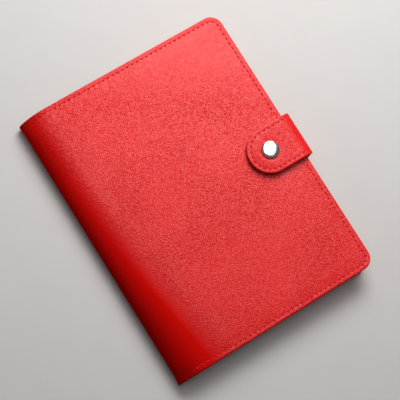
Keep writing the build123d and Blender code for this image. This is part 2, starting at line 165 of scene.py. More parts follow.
def rounded_plate(name, low, high, corner, bevel, material):
    """Flat board with two round corners at its fore-edge and softened edges all round."""
    outline = []
    arc_steps = 8
    corners = [
        (high.x, high.y, 0, corner),
        (low.x, high.y, 90, 0),
        (low.x, low.y, 180, 0),
        (high.x, low.y, 270, corner),
    ]
    for x, y, start, radius in corners:
        steps = arc_steps if radius > 0 else 0
        for k in range(steps + 1):
            turn = math.radians(start + 90 * (k / steps if steps else 0.5))
            centre_x = x - math.copysign(radius, x - (low.x + high.x) / 2)
            centre_y = y - math.copysign(radius, y - (low.y + high.y) / 2)
            outline.append(
                (centre_x + radius * math.cos(turn), centre_y + radius * math.sin(turn))
            )
    outline = np.array(outline)
    centre = np.array([(low.x + high.x) / 2, (low.y + high.y) / 2])
    half = np.array([(high.x - low.x) / 2, (high.y - low.y) / 2])
    rings = []
    bevel_steps = 3
    for k in range(bevel_steps + 1):
        turn = math.pi / 2 * k / bevel_steps
        shrink = 1 - bevel * (1 - math.sin(turn)) / half
        rings.append((shrink, low.z + bevel * (1 - math.cos(turn))))
    rings += [(shrink, low.z + high.z - z) for shrink, z in reversed(rings)]
    verts = []
    for shrink, z in rings:
        ring = centre + (outline - centre) * shrink
        verts += [(p[0], p[1], z) for p in ring]
    n = len(outline)
    faces = [tuple(range(n))[::-1], tuple(range((len(rings) - 1) * n, len(rings) * n))]
    for r in range(len(rings) - 1):
        for k in range(n):
            a, b = r * n + k, r * n + (k + 1) % n
            faces.append((a, b, b + n, a + n))
    return new_object(name, verts, faces, material, 35)


def lathe(name, profile, centre_x, material):
    """Solid turned about an upright axis at centre_x from (radius, height) points."""
    verts, faces = [], []
    steps = 96
    for radius, z in profile:
        for k in range(steps):
            turn = 2 * math.pi * k / steps
            verts.append((centre_x + radius * math.cos(turn), radius * math.sin(turn), z))
    n = len(profile)
    for r in range(n - 1):
        for k in range(steps):
            a, b = r * steps + k, r * steps + (k + 1) % steps
            faces.append((a, b, b + steps, a + steps))
    faces.append(tuple(range(steps))[::-1])
    faces.append(tuple(range((n - 1) * steps, n * steps)))
    return new_object(name, verts, faces, material, 60)


# ---------------------------------------------------------------- materials


class Graph:
    """Node tree of a new material, with its Principled shader."""

    def __init__(self, name, colour, roughness, metallic=0.0):
        self.material = bpy.data.materials.new(name)
        self.material.use_nodes = True
        self.nodes, self.links = self.material.node_tree.nodes, self.material.node_tree.links
        self.shader = self.nodes["Principled BSDF"]
        self.shader.inputs["Base Color"].default_value = (*colour, 1)
        self.shader.inputs["Roughness"].default_value = roughness
        self.shader.inputs["Metallic"].default_value = metallic

    def feed(self, socket, value):
        """Links an input to another node's output, or sets it to a constant."""
        if isinstance(value, bpy.types.NodeSocket):
            self.links.new(value, socket)
        else:
            socket.default_value = value

    def add(self, kind, **inputs):
        """New node with its inputs fed."""
        node = self.nodes.new(kind)
        for key, value in inputs.items():
            self.feed(node.inputs[key.replace("_", " ")], value)
        return node

    def calculate(self, operation, *values):
        """Result of a maths node."""
        node = self.nodes.new("ShaderNodeMath")
        node.operation = operation
        for socket, value in zip(node.inputs, values):
            self.feed(socket, value)
        return node.outputs[0]

    def multiply(self, *values):
        """Product of several values."""
        product = values[0]
        for value in values[1:]:
            product = self.calculate("MULTIPLY", product, value)
        return product

    def remap(self, value, low, high, to_low=0.0, to_high=1.0):
        """A value brought from one range to another and clamped."""
        node = self.add(
            "ShaderNodeMapRange", Value=value, From_Min=low, From_Max=high, To_Min=to_low, To_Max=to_high
        )
        return node.outputs["Result"]

    def mix(self, factor, first, second):
        """Mix of two colours by a factor."""
        node = self.nodes.new("ShaderNodeMix")
        node.data_type = "RGBA"
        self.feed(node.inputs[0], factor)
        for index, value in ((6, first), (7, second)):
            self.feed(node.inputs[index], (*value, 1) if isinstance(value, tuple) else value)
        return node.outputs[2]

    def noise(self, vector, scale, detail, roughness=0.5, distortion=0.0):
        """Noise over a vector."""
        node = self.add(
            "ShaderNodeTexNoise",
            Vector=vector,
            Scale=scale,
            Detail=detail,
            Roughness=roughness,
            Distortion=distortion,
        )
        return node.outputs["Fac"]

    def finish(self, colour, roughness, height, strength, depth):
        """Feeds the shader its colour, its roughness and a bumpy surface."""
        bump = self.add("ShaderNodeBump", Height=height, Strength=strength, Distance=depth)
        self.feed(self.shader.inputs["Base Color"], colour)
        self.feed(self.shader.inputs["Roughness"], roughness)
        self.feed(self.shader.inputs["Normal"], bump.outputs["Normal"])
        return self.material


def grain_pits(graph, vector, pebble):
    """1 in the dots, 0.7 in the lines between the leather's pebbles, 0 on top of them."""
    warp = graph.add(
        "ShaderNodeTexNoise", Vector=vector, Scale=1 / (pebble * 3), Detail=1.0, Roughness=0.5
    )
    shift = graph.nodes.new("ShaderNodeVectorMath")
    shift.operation = "MULTIPLY_ADD"
    for socket, value in zip(shift.inputs, (warp.outputs["Color"], (pebble * 1.2,) * 3, vector)):
        graph.feed(socket, value)
    cells = graph.add("ShaderNodeTexVoronoi", Vector=shift.outputs[0], Scale=1 / pebble)
    cells.feature = "DISTANCE_TO_EDGE"
    dots = graph.add("ShaderNodeTexVoronoi", Vector=shift.outputs[0], Scale=1 / (pebble * 0.95))
    lines = graph.remap(cells.outputs["Distance"], 0.02, 0.20, 0.7, 0.0)
    spots = graph.remap(dots.outputs["Distance"], 0.20, 0.44, 1.0, 0.0)
    return graph.calculate("MAXIMUM", lines, spots)


def wrinkle_lines(graph, vector):
    """Short slanting wrinkles, from 0 to 0.65."""
    turn = graph.add("ShaderNodeMapping", Vector=vector, Rotation=(0.0, 0.0, math.radians(32)))
    stretch = graph.add("ShaderNodeMapping", Vector=turn.outputs["Vector"], Scale=(0.30, 1.0, 1.0))
    lines = graph.noise(stretch.outputs["Vector"], 760.0, 1.0, distortion=0.4)
    return graph.remap(lines, 0.48, 0.66, 0.0, 0.65)


def wrap_spine(graph, vector, pits, swell):
    """Changes of the hide round the spine: its pits, swell and shine where it is stretched, and the
    painted shade that darkens it towards the spine.
    """
    split = graph.add("ShaderNodeSeparateXYZ", Vector=vector)
    from_tip = graph.calculate("ABSOLUTE", split.outputs["X"])

    # The smooth band round the spine widens towards the foot
    from_spine = graph.calculate("MULTIPLY_ADD", split.outputs["Y"], 0.16, from_tip)
    starts = graph.remap(from_spine, 16 * MM, 25 * MM)
    ends = graph.remap(from_spine, 47 * MM, 31 * MM)
    wrinkles = graph.multiply(wrinkle_lines(graph, vector), starts, ends)
    pits = graph.multiply(pits, graph.remap(from_spine, 15 * MM, 31 * MM, 0.1, 1.0))

    # The grain is faint towards the corner between head and fore-edge
    corner = graph.calculate("MULTIPLY_ADD", from_tip, 0.6, split.outputs["Y"])
    faint = graph.remap(corner, 130 * MM, 180 * MM, 1.0, 0.35)
    pits = graph.multiply(graph.calculate("MAXIMUM", pits, wrinkles), faint)
    swell = graph.multiply(swell, faint)

    shine = graph.remap(from_spine, 16 * MM, 34 * MM, 0.0, 0.43)
    beside_tip = graph.remap(from_tip, 6 * MM, 18 * MM)
    across = graph.remap(from_tip, 20 * MM, 160 * MM, 0.86, 1.16)
    at_corner = graph.remap(corner, 120 * MM, 205 * MM, 1.0, 0.56)
    shine = graph.multiply(shine, beside_tip, across, at_corner)

    # Painted shade: the colour darkens towards the spine's curve, where it turns from the lamps, over a
    # band that widens towards the foot
    shade_end = 65 * MM
    fade = graph.remap(from_spine, 0.0, shade_end, 1.0, 0.0)
    painted_shade = graph.multiply(fade, graph.remap(from_spine, 0.0, shade_end, 0.72, 0.0))
    return pits, swell, shine, painted_shade


def leather_material(name, light, dark, roughness, pebble, pebble_depth, on_spine=False):
    """Grained leather, with pebbles of a size and a depth in metres."""
    graph = Graph(name, light, roughness)
    place = graph.nodes.new("ShaderNodeAttribute")
    place.attribute_name = "leather_place"
    vector = place.outputs["Vector"]
    crease = graph.noise(vector, 1 / (pebble * 2.0), 2.0, 0.55)
    patches = graph.noise(vector, 24.0, 1.0)
    broken = graph.remap(crease, 0.35, 0.65, 1.0, 0.8)
    worn = graph.remap(patches, 0.38, 0.62, 1.0, 0.82)
    pits = graph.multiply(grain_pits(graph, vector, pebble), broken, worn)
    shine = graph.remap(patches, 0.3, 0.7, 0.46, 0.54)
    swell = graph.remap(crease, 0.2, 0.8, 0.0, 0.6)
    if on_spine:
        pits, swell, shine, painted_shade = wrap_spine(graph, vector, pits, swell)
    dull = graph.remap(pits, 0.0, 1.0, 1.0, 0.0)
    graph.feed(graph.shader.inputs["Specular IOR Level"], graph.multiply(shine, dull))

    middle = tuple(0.93 * a + 0.07 * b for a, b in zip(light, dark))
    colour = graph.mix(graph.remap(patches, 0.35, 0.68), middle, light)
    colour = graph.mix(graph.remap(pits, 0.0, 1.0, 0.0, 0.45), colour, dark)
    # On the spine, the painted shade mixes the colour towards dark
    if on_spine:
        colour = graph.mix(painted_shade, colour, dark)
    rough = graph.remap(crease, 0.3, 0.7, roughness + 0.05, roughness - 0.04)
    height = graph.calculate("MULTIPLY_ADD", pits, -1.0, swell)
    return graph.finish(colour, rough, height, 1.0, pebble_depth)


def object_noise(graph, scale, detail):
    """Noise over the object's own coordinates."""
    where = graph.nodes.new("ShaderNodeTexCoord")
    return graph.noise(where.outputs["Object"], scale, detail)


def speckled_material(name, light, dark, roughness, scale, depth, metallic=0.0):
    """Material whose colour, roughness and surface vary with one noise."""
    graph = Graph(name, light, roughness, metallic)
    pattern = object_noise(graph, scale, 4.0)
    colour = graph.mix(graph.remap(pattern, 0.35, 0.65), dark, light)
    rough = graph.remap(pattern, 0.3, 0.7, max(roughness - 0.06, 0.02), roughness + 0.06)
    return graph.finish(colour, rough, pattern, 0.6, depth)


# Its dark colour is both the grain's pits and the painted shade round the spine
RED_LEATHER = leather_material(
    "red_leather", (0.69, 0.0048, 0.0032), (0.22, 0.0012, 0.0010), 0.40, 1.6 * MM, 0.13 * MM, True
)
TAB_LEATHER = leather_material(
    "tab_leather", (0.70, 0.0048, 0.0034), (0.25, 0.0012, 0.0010), 0.42, 1.4 * MM, 0.08 * MM
)
SMOOTH_LEATHER = leather_material(
    "red_lining", (0.42, 0.006, 0.008), (0.18, 0.002, 0.003), 0.55, 0.8 * MM, 0.03 * MM
)
THREAD = speckled_material(
    "red_thread", (0.52, 0.001, 0.003), (0.44, 0.001, 0.003), 0.85, 2400, 0.06 * MM
)
# Needle holes: a darker red, painted on each as the shade in the hole
HOLE_SHADE = speckled_material(
    "needle_hole_shade", (0.60, 0.004, 0.005), (0.50, 0.003, 0.004), 0.6, 3000, 0.02 * MM
)
NICKEL = speckled_material(
    "snap_nickel", (0.83, 0.81, 0.78), (0.78, 0.76, 0.73), 0.20, 260, 0.00002 * MM, 1.0
)
SPRING = speckled_material(
    "spring_steel", (0.60, 0.60, 0.61), (0.50, 0.50, 0.51), 0.28, 900, 0.004 * MM, 1.0
)
PAPER = speckled_material("paper", (0.86, 0.81, 0.69), (0.78, 0.72, 0.60), 0.85, 420, 0.02 * MM)
BOARD = speckled_material(
    "notebook_board", (0.035, 0.036, 0.040), (0.018, 0.018, 0.021), 0.6, 1500, 0.03 * MM
)
CASE_CLOTH = speckled_material(
    "notebook_spine_card", (0.040, 0.040, 0.045), (0.020, 0.020, 0.024), 0.75, 1900, 0.05 * MM
)
GREY_BOARD = speckled_material(
    "stiffener_board", (0.42, 0.39, 0.34), (0.30, 0.28, 0.24), 0.9, 700, 0.03 * MM
)


def repaint(node, material):
    """Gives a CAD piece that stays in view a material of its own."""
    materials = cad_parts[node].data.materials
    materials.clear()
    materials.append(material)


# ---------------------------------------------------------------- sections


def lengths_along(points):
    """Length along a broken line at each of its points."""
    return np.concatenate([[0], np.cumsum(np.hypot(*np.diff(points, axis=0).T))])


class Section:
    """Line across the book, by its length, with the outward side at each point."""

    def __init__(self, points, steps=4000):
        points = np.array(points, float)
        lengths = lengths_along(points)
        self.length = lengths[-1]
        self.s = np.linspace(0, self.length, steps)
        self.x = np.interp(self.s, lengths, points[:, 0])
        self.z = np.interp(self.s, lengths, points[:, 1])
        dx, dz = np.gradient(self.x, self.s), np.gradient(self.z, self.s)
        size = np.hypot(dx, dz)
        self.nx, self.nz = dz / size, -dx / size

    def at(self, s):
        """x, z and the normal's x and z at a length along the line."""
        return [np.interp(s, self.s, values) for values in (self.x, self.z, self.nx, self.nz)]


def raised(place, y, height):
    """Points and normals at a height above a section's line, from what its at() gives."""
    x, z, nx, nz = place
    points = np.stack([x + nx * height, y, z + nz * height], axis=-1)
    return points, np.stack([nx, np.zeros_like(nx), nz], axis=-1)


def flat_sheet(x, y, z, upward):
    """Points of a sheet that lies flat, with normals that face up (1) or down (-1)."""
    points = np.stack([x, y, z], axis=-1)
    normals = np.zeros(points.shape)
    normals[..., 2] = upward
    return points, normals


def edge_roll(distance, width, depth):
    """Fall of a surface towards its softly rounded edge, within a width of it."""
    share = 1 - np.clip(distance / width, 0, 1)
    return -depth * (1 - np.sqrt(np.clip(1 - share * share, 0, 1)))


def ellipse_arc(centre_x, centre_z, reach_x, reach_z, start, end, steps=200):
    """Points of part of an ellipse, from angle start to angle end in degrees."""
    turns = np.radians(np.linspace(start, end, steps))
    return [(centre_x + reach_x * math.cos(t), centre_z + reach_z * math.sin(t)) for t in turns]


def outward(side, section):
    """Turns a front section's normals outwards: its line runs the other way round."""
    if side == "front":
        section.nx, section.nz = -section.nx, -section.nz
    return section


def to_side(side, depth):
    """Height of a depth below one cover's outer face."""
    return depth if side == "back" else THICKNESS - depth


def hide_section(side):
    """Half of the hide's outer line, from the tip of the soft spine to the fore-edge."""
    if side == "back":
        points = ellipse_arc(BEND_X, TIP_Z, BEND_X - TIP_X, TIP_Z, 180, 270)
    else:
        soft_x = BEND_X + SOFT_BEND
        points = ellipse_arc(soft_x, TIP_Z, soft_x - TIP_X, THICKNESS - TIP_Z, 180, 90)
    return outward(side, Section([*points, (FORE_X, to_side(side, 0))]))


def lining_depth(side, x):
    """Depth of the lining below the hide's outer face, less where the hide bends closely."""
    # Distances from the spine's tip, and the depth at each, in millimetres
    if side == "back":
        stations, depths = (0, 4, 13, 15), (1.2, 1.6, 1.9, 2.0)
    else:
        stations = (0, 3, 7, 10, 13, 15, 19, 21)
        depths = (1.2, 0.95, 0.68, 0.72, 0.92, 1.36, 1.93, 2.0)
    return np.interp(x, TIP_X + np.array(stations) * MM, np.array(depths) * MM)


def lining_section(side):
    """Half of the lining's outer line, at its depth below the hide's."""
    hide = hide_section(side)
    depth = lining_depth(side, hide.x)
    fore_gap = 0.25 * MM
    kept = hide.x < FORE_X - fore_gap
    line = np.stack([hide.x - hide.nx * depth, hide.z - hide.nz * depth], axis=1)[kept]
    return outward(side, Section(line))


def spaced(low, high, step, edge_step, edge_width, both=False):
    """Even values from low to high, closer together within edge_width of the high end or both."""
    parts = []
    start = low
    if both:
        start = low + edge_width
        parts.append(np.arange(low, start - edge_step / 2, edge_step))
    finish = high - edge_width
    parts.append(np.linspace(start, finish, max(2, round((finish - start) / step)), endpoint=False))
    parts.append(np.linspace(finish, high, round(edge_width / edge_step) + 1))
    return np.concatenate(parts)


def round_corners(s, y, length, half, radius):
    """Moves a grid's points so that its two corners at the far end become round."""
    a = np.clip((s - (length - radius)) / radius, 0, 1)
    b = np.clip((np.abs(y) - (half - radius)) / radius, 0, 1)
    new_s = np.where(a > 0, length - radius + radius * a * np.sqrt(1 - b * b / 2), s)
    new_y = np.where(b > 0, np.sign(y) * (half - radius + radius * b * np.sqrt(1 - a * a / 2)), y)
    return new_s, new_y


def edge_distance(s, y, length, half, radius):
    """Distance in from the head, the fore-edge or the foot, whichever is nearest."""
    from_fore, from_side = length - s, half - np.abs(y)
    corner = radius - np.hypot(np.maximum(radius - from_fore, 0), np.maximum(radius - from_side, 0))
    in_corner = (from_fore < radius) & (from_side < radius)
    return np.where(in_corner, corner, np.minimum(from_fore, from_side))


def soft_noise(s, y, scale, seed):
    """Slow undulation of a sheet, from about -1 to 1."""
    flat = [noise.noise(Vector((a / scale, b / scale, seed))) for a, b in zip(s.ravel(), y.ravel())]
    return np.array(flat).reshape(s.shape)


# ---------------------------------------------------------------- seams


class Seam:
    """Line of a seam on a sheet, as (s, y) points, with evenly spaced stitches."""

    def __init__(self, points):
        points = np.array(points, float)
        lengths = lengths_along(points)
        self.points, self.lengths = points, lengths
        self.count = max(2, round(lengths[-1] / STITCH_PITCH))
        self.pitch = lengths[-1] / self.count

    def at(self, u):
        """(s, y) at a length along the seam."""
        return (
            np.interp(u, self.lengths, self.points[:, 0]),
            np.interp(u, self.lengths, self.points[:, 1]),
        )

    def holes(self):
        """(s, y) of each needle hole."""
        return [self.at(self.pitch * k) for k in range(self.count + 1)]


def edge_seam(start_s, length, half, radius, inset):
    """Seam along the head, the fore-edge and the foot of a sheet."""
    far, side, bend = length - inset, half - inset, radius - inset
    points = [(start_s, side), (far - bend, side)]
    points += ellipse_arc(far - bend, side - bend, bend, bend, 90, 0, 24)[1:]
    points += ellipse_arc(far - bend, -side + bend, bend, bend, 0, -90, 24)
    points.append((start_s, -side))
    return Seam(points)


def seam_relief(s, y, seam, depth, width):
    """Pull of a seam on the sheet: a shallow channel, deeper at each needle hole."""
    holes = seam.holes()
    tree = kdtree.KDTree(len(holes))
    for index, (hole_s, hole_y) in enumerate(holes):
        tree.insert((hole_s, hole_y, 0), index)
    tree.balance()
    line_steps = 400
    line = kdtree.KDTree(line_steps)
    for index, u in enumerate(np.linspace(0, seam.lengths[-1], line_steps)):
        line_s, line_y = seam.at(u)
        line.insert((line_s, line_y, 0), index)
    line.balance()
    relief = np.zeros(s.size)
    for index, (a, b) in enumerate(zip(s.ravel(), y.ravel())):
        off = line.find((a, b, 0))[2]
        if off < 4 * width:
            near = tree.find((a, b, 0))[2]
            relief[index] = -depth * math.exp(-((off / width) ** 2))
            relief[index] -= 0.9 * depth * math.exp(-((near / width) ** 2))
    return relief.reshape(s.shape)


def thread_mesh(seam, surface):
    """Vertices and faces of a seam's stitches: each sinks and thins into its needle holes."""
    verts, faces = [], []
    rings, around = 9, 8
    for k in range(seam.count):
        middle = (k + 0.5) * seam.pitch
        u = np.linspace(middle - STITCH_LENGTH / 2, middle + STITCH_LENGTH / 2, rings)
        s, y = seam.at(u)
        points, normals = surface(s, y)
        along = np.gradient(points, axis=0)
        along /= np.linalg.norm(along, axis=1)[:, None]
        across = np.cross(normals, along)
        share = np.linspace(-1, 1, rings)
        sink = THREAD_RADIUS * (0.25 - 1.5 * np.abs(share) ** 4)
        thick = THREAD_RADIUS * (1.0 - 0.35 * np.abs(share) ** 3)
        slant = 0.16 * MM * share
        base = len(verts)
        for r in range(rings):
            centre = points[r] + normals[r] * sink[r] + across[r] * slant[r]
            for a in range(around):
                turn = 2 * math.pi * a / around
                verts.append(
                    centre
                    + across[r] * math.cos(turn) * thick[r] * 1.15
                    + normals[r] * math.sin(turn) * thick[r]
                )
        for r in range(rings - 1):
            for a in range(around):
                p, q = base + r * around + a, base + r * around + (a + 1) % around
                faces.append((p, p + around, q + around, q))
        faces.append(tuple(base + a for a in range(around)))
        faces.append(tuple(base + (rings - 1) * around + a for a in range(around))[::-1])
    return verts, faces


def hole_mesh(seam, surface):
    """Vertices and faces of a seam's needle holes: a small oval rim round each, in a darker red that
    paints the shade in the hole.
    """
    verts, faces = [], []
    around = 10
    near = 0.01 * MM
    nudge = 0.001 * MM
    for k in range(seam.count + 1):
        u = np.array([seam.pitch * k - near, seam.pitch * k + near])
        s, y = seam.at(np.clip(u, 0, seam.lengths[-1] - nudge) + np.array([0, nudge]))
        points, normals = surface(s, y)
        along = points[1] - points[0]
        along /= np.linalg.norm(along)
        across = np.cross(normals[0], along)
        centre = points.mean(axis=0) + normals[0] * 0.03 * MM
        base = len(verts)
        for share, lift in ((1.0, 0.0), (0.55, 0.05 * MM)):
            for a in range(around):
                turn = 2 * math.pi * a / around
                verts.append(
                    centre
                    + along * math.cos(turn) * HOLE_LENGTH / 2 * share
                    + across * math.sin(turn) * HOLE_WIDTH / 2 * share
                    + normals[0] * lift
                )
        for a in range(around):
            b = (a + 1) % around
            faces.append((base + a, base + b, base + around + b, base + around + a))
        faces.append(tuple(base + around + a for a in range(around)))
    return verts, faces


def stitch_meshes(name, seam, surface, body, node=None):
    """Threads and needle holes, with their painted shade, of a seam on a surface(s, y), which gives
    points and normals.
    """
    threads = new_object(f"{name}_threads", *thread_mesh(seam, surface), THREAD)
    holes = new_object(f"{name}_needle_holes", *hole_mesh(seam, surface), HOLE_SHADE)
    for piece in (threads, holes):
        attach(piece, body)
    if node:
        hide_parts(node)


# ---------------------------------------------------------------- outer hide


def bend_with_spine(obj, side):
    """Bakes a sheet's placement into its mesh, the same for either side."""
    if side == "back":
        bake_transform(obj)
    else:
        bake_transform(obj)


def hide_grid(section):
    """(s, y) grid of a cover's sheet, with its fore corners rounded."""
    s_values = spaced(0, section.length, 1.0 * MM, 0.5 * MM, 6 * MM)
    y_values = spaced(-HALF_HEIGHT, HALF_HEIGHT, 1.0 * MM, 0.5 * MM, 6 * MM, both=True)
    s, y = np.meshgrid(s_values, y_values, indexing="ij")
    return round_corners(s, y, section.length, HALF_HEIGHT, FORE_CORNER)


def hide_surface(side):
    """The hide's outer surface, as a function of (s, y), and its section and seam."""
    section = hide_section(side)
    bend_s = section.length - (FORE_X - BEND_X)
    seam = edge_seam(bend_s - 2.6 * MM, section.length, HALF_HEIGHT, FORE_CORNER, SEAM_INSET)

    def relief(s, y):
        edge = edge_distance(s, y, section.length, HALF_HEIGHT, FORE_CORNER)
        padding = 0.30 * MM
        rise = padding * smoothstep(3.5 * MM, 12 * MM, edge) - padding
        roll = edge_roll(edge, 0.9 * MM, 0.42 * MM)
        slow = 0.16 * MM * soft_noise(s, y, 38 * MM, 3.1) + 0.05 * MM * soft_noise(s, y, 11 * MM, 7.7)
        slow = slow * smoothstep(2 * MM, 20 * MM, edge) * smoothstep(0, 12 * MM, s)
        return rise + roll + slow + seam_relief(s, y, seam, 0.13 * MM, 0.75 * MM)

    def surface(s, y):
        points, normals = raised(section.at(s), y, relief(s, y))
        return pinch_ends(side, points), normals

    return section, seam, surface


def pinch_ends(side, points):
    """Draws the unsupported ends of the spine down and out to a point, as soft leather lies."""
    soft_end = 13 * MM
    ends = smoothstep(HALF_HEIGHT - soft_end, HALF_HEIGHT, np.abs(points[..., 1])) ** 1.5
    share = ends * (1 - smoothstep(0, BEND_X - TIP_X, points[..., 0] - TIP_X))
    pinched = points.copy()
    pinched[..., 0] -= 0.6 * MM * share
    fall = 1.8 * MM * share
    pinched[..., 2] -= fall if side == "front" else fall * points[..., 2] / TIP_Z
    return pinched


def make_hide(side):
    """Half of the outer hide: one cover and half of the spine."""
    section, seam, surface = hide_surface(side)
    s, y = hide_grid(section)
    outer = surface(s, y)[0]
    line = section.at(s)
    drop = np.abs(line[1] - to_side(side, 0))
    lining_gap = 0.03 * MM
    room = np.where(line[0] > BEND_X, LEATHER - drop, lining_depth(side, line[0]) - lining_gap)
    inner = pinch_ends(side, raised(line, y, -np.minimum(room, LEATHER))[0])
    shift = 0.0 if side == "back" else 0.5
    places = np.stack([np.where(side == "back", -s, s), y, np.full_like(s, shift)], axis=-1)
    obj = shell(f"{side}_hide", outer, inner, RED_LEATHER, places, flip=side == "front")
    if side == "back":
        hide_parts("back_leather")
    else:
        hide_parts("front_leather", "spine_leather")
    bend_with_spine(obj, side)
    stitch_meshes(f"{side}_edge", seam, surface, f"{side}_cover", f"{side}_stitching")


make_hide("back")
make_hide("front")


# ---------------------------------------------------------------- lining and sleeves


def strap_cover(side, s_from_fore, y):
    """1 over the strap's sewn-in tail in the back cover, 0 elsewhere."""
    if side == "front":
        return np.zeros_like(s_from_fore)
    beside = 1 - smoothstep(STRAP_HALF + 0.5 * MM, STRAP_HALF + 4 * MM, np.abs(y))
    return beside * (1 - smoothstep(FORE_X - TAIL_X, FORE_X - TAIL_X + 3 * MM, s_from_fore))


def make_lining(side):
    """Half of the lining: it dips to the hide round the stiffener and follows the spine."""
    section = lining_section(side)
    half = HALF_HEIGHT - 0.25 * MM
    s_values = spaced(0, section.length, 2.0 * MM, 0.8 * MM, 8 * MM)
    y_values = spaced(-half, half, 2.5 * MM, 0.8 * MM, 8 * MM, both=True)
    s, y = np.meshgrid(s_values, y_values, indexing="ij")
    s, y = round_corners(s, y, section.length, half, FORE_CORNER)
    edge = edge_distance(s, y, section.length, half, FORE_CORNER)
    stiffened = LINING_DEPTH - LEATHER
    line = section.at(s)
    on_cover = smoothstep(BEND_X, BEND_X + 8 * MM, line[0])
    dip = stiffened * (1 - smoothstep(4.6 * MM, 6.4 * MM, edge))
    dip = dip * (1 - strap_cover(side, section.length - s, y)) * on_cover
    low = dip - LINING * (0.7 + 0.3 * on_cover)
    outer, inner = (pinch_ends(side, raised(line, y, height)[0]) for height in (dip, low))
    places = np.stack([s, y, np.full_like(s, 0.9)], axis=-1)
    obj = shell(f"{side}_lining_skin", outer, inner, SMOOTH_LEATHER, places, flip=side == "front")
    if side == "back":
        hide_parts("back_lining")
    else:
        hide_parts("front_lining", "spine_lining")
    bend_with_spine(obj, side)


def make_sleeve(side):
    """Leather pocket over one board, sewn down along three sides, with its own open edge."""
    edge_gap = 0.4 * MM
    width = FORE_X - edge_gap - SLEEVE_X
    half = HALF_HEIGHT - edge_gap
    s_values = np.concatenate(
        [np.linspace(0, 5 * MM, 9, endpoint=False), spaced(5 * MM, width, 1.6 * MM, 0.5 * MM, 8 * MM)]
    )
    y_values = spaced(-half, half, 1.8 * MM, 0.5 * MM, 8 * MM, both=True)
    s, y = np.meshgrid(s_values, y_values, indexing="ij")
    s, y = round_corners(s, y, width, half, FORE_CORNER)
    upward = 1.0 if side == "back" else -1.0
    seam = edge_seam(0.8 * MM, width, half, FORE_CORNER, SEAM_INSET - edge_gap)
    mouth_s, mouth_half = 3.2 * MM, half - 4 * MM
    mouth_seam = Seam([(mouth_s, mouth_half), (mouth_s, -mouth_half)])

    def depth_at(s, y):
        edge = edge_distance(s, y, width, half, FORE_CORNER)
        sewn = LEATHER + LINING + SLEEVE
        sewn = sewn + (LINING_DEPTH - LEATHER) * strap_cover(side, width - s, y)
        over_board = smoothstep(3.3 * MM, 5.0 * MM, edge)
        depth = sewn + (SLEEVE_TOP - sewn) * over_board
        lip = edge_roll(s, 0.8 * MM, 0.30 * MM)
        slow = 0.08 * MM * soft_noise(s, y, 24 * MM, 12.5) * smoothstep(5 * MM, 20 * MM, edge)
        pull = seam_relief(s, y, seam, 0.10 * MM, 0.7 * MM)
        pull = pull + seam_relief(s, y, mouth_seam, 0.10 * MM, 0.7 * MM)
        return depth + lip - np.abs(slow) + pull

    def surface(s, y):
        return flat_sheet(SLEEVE_X + s, y, to_side(side, depth_at(s, y)), upward)

    outer, normals = surface(s, y)
    edge = edge_distance(s, y, width, half, FORE_CORNER)
    inner = outer - normals * (SLEEVE - 0.1 * MM * smoothstep(3 * MM, 5 * MM, edge))[..., None]
    places = np.stack([s + 0.3, y, np.full_like(s, 1.7)], axis=-1)
    obj = shell(f"{side}_sleeve_leather", outer, inner, TAB_LEATHER, places, flip=side == "back")
    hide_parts(f"{side}_sleeve")
    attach(obj, f"{side}_cover")
    stitch_meshes(f"{side}_sleeve_edge", seam, surface, f"{side}_cover")
    stitch_meshes(f"{side}_sleeve_mouth", mouth_seam, surface, f"{side}_cover")


for cover_side in ("back", "front"):
    make_lining(cover_side)
    make_sleeve(cover_side)


def make_card_slot(node):
    """Thin leather pocket sewn on the front sleeve, open towards the spine."""
    low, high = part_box(node)
    width, half, middle_y = high.x - low.x, (high.y - low.y) / 2, (low.y + high.y) / 2
    radius = 3 * MM
    s_values = np.linspace(0, width, 40)
    y_values = np.linspace(-half, half, 70)
    s, y = np.meshgrid(s_values, y_values, indexing="ij")
    s, y = round_corners(s, y, width, half, radius)
    seam = edge_seam(1.2 * MM, width, half, radius, 2.0 * MM)

    def surface(s, y):
        edge = edge_distance(s, y, width, half, radius)
        lip = edge_roll(s, 0.7 * MM, 0.22 * MM)
        roll = 0.25 * MM * (1 - smoothstep(0, 1.0 * MM, edge))
        z = low.z - lip + roll - seam_relief(s, y, seam, 0.06 * MM, 0.6 * MM)
        return flat_sheet(low.x + s, middle_y + y, z, -1)

    outer = surface(s, y)[0]
    inner = outer.copy()
    inner[..., 2] = high.z
    places = np.stack([s + 0.5, y + middle_y, np.full_like(s, 2.3)], axis=-1)
    obj = shell(f"{node}_leather", outer, inner, TAB_LEATHER, places)
    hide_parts(node)
    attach(obj, "front_cover")
    stitch_meshes(node, seam, surface, "front_cover")


make_card_slot("card_slot_head")
make_card_slot("card_slot_foot")


# ---------------------------------------------------------------- notebook


def make_notebook_board(side):
    """Cloth-covered board with softened edges."""
    node = f"notebook_{side}_board"
    low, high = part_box(node)
    obj = rounded_plate(f"{node}_cover", low, high, 3 * MM, 0.35 * MM, BOARD)
    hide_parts(node)
    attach(obj, f"{side}_cover")


def make_case_back(side):
    """Part of the notebook's flexible cloth back, from one board to where the hide's halves meet."""
    low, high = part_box("notebook_spine")
    reach = BEND_X - low.x
    rise = MIDDLE - (BOARD_LOW.z + 0.1 * MM)
    parting = 180 + math.degrees(math.asin((MIDDLE - TIP_Z) / rise))
    points = ellipse_arc(BEND_X, MIDDLE, reach, rise, parting, 270 if side == "back" else 90)
    points.append((BEND_X + 1.2 * MM, to_side(side, MIDDLE - rise)))
    section = outward(side, Section(points))
    s, y = np.meshgrid(
        np.linspace(0, section.length, 30), np.linspace(low.y, high.y, 60), indexing="ij"
    )
    thick = 0.7 * MM
    outer, inner = (raised(section.at(s), y, height)[0] for height in (0.0, -thick))
    places = np.stack([s, y, np.zeros_like(s)], axis=-1)
    obj = shell(f"notebook_case_back_{side}", outer, inner, CASE_CLOTH, places, flip=side == "front")
    if side == "back":
        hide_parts("notebook_spine")
    bend_with_spine(obj, side)


